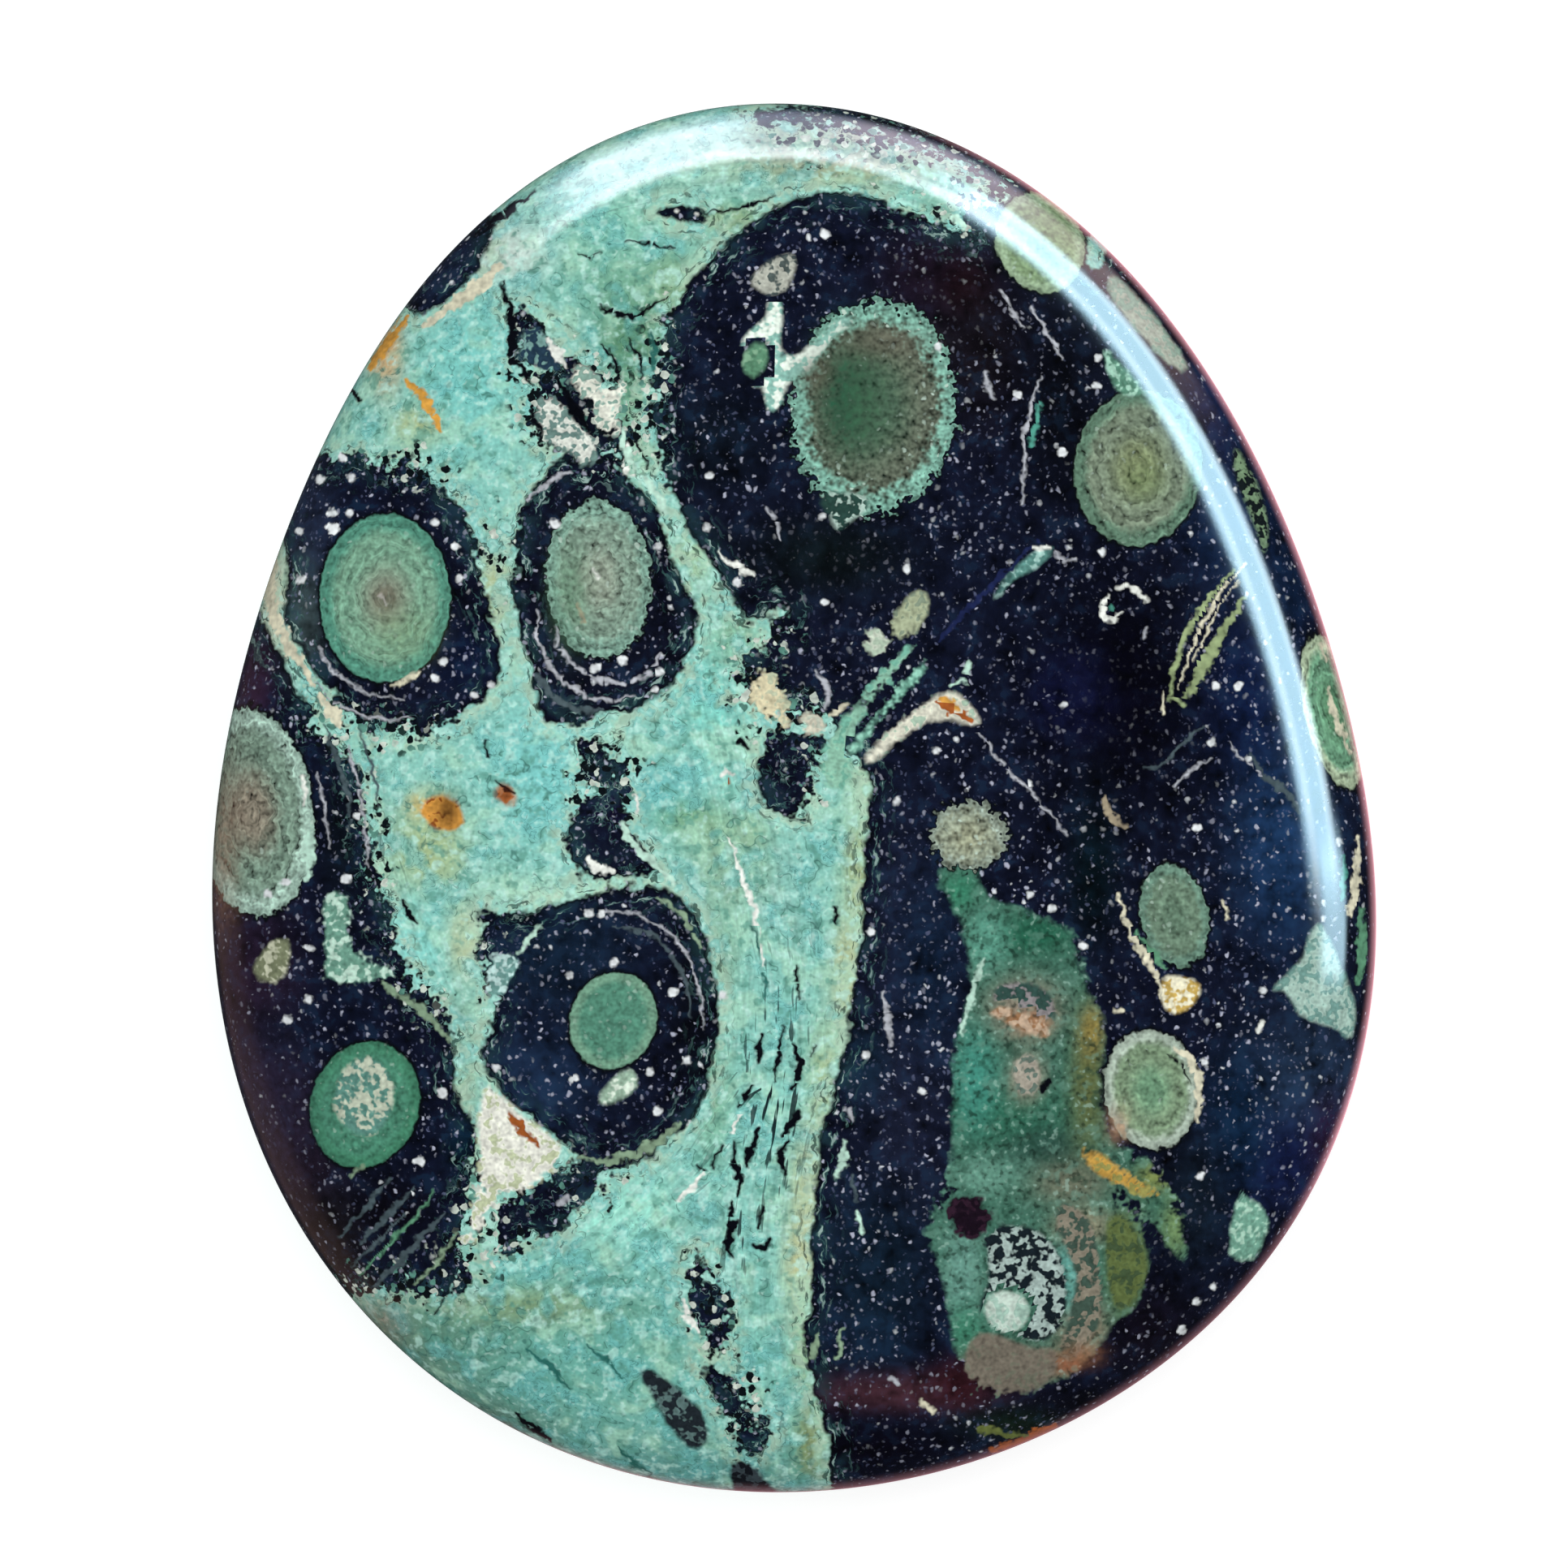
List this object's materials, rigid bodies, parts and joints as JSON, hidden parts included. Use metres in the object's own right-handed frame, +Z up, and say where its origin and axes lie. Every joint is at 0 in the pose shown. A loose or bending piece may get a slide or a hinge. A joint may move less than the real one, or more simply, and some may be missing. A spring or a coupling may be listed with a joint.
{
  "type": "kambaba jasper worry stone",
  "caption": "Flat egg-shaped polished pebble of dark green orbicular jasper, with rounded edges, two gently domed faces and a small flat spot to lie on.",
  "frame": {"origin": "under the middle of the stone's outline, on the surface it rests on", "axes": "+Z up through the upper face, +Y towards the narrow end, +X to the right of the stone seen from above"},
  "size_m": [0.0378, 0.045, 0.0091],
  "materials": {
    "polished_jasper": "high polish"
  },
  "bodies": {
    "root": {"stone": "polished_jasper"}
  },
  "joints": []
}
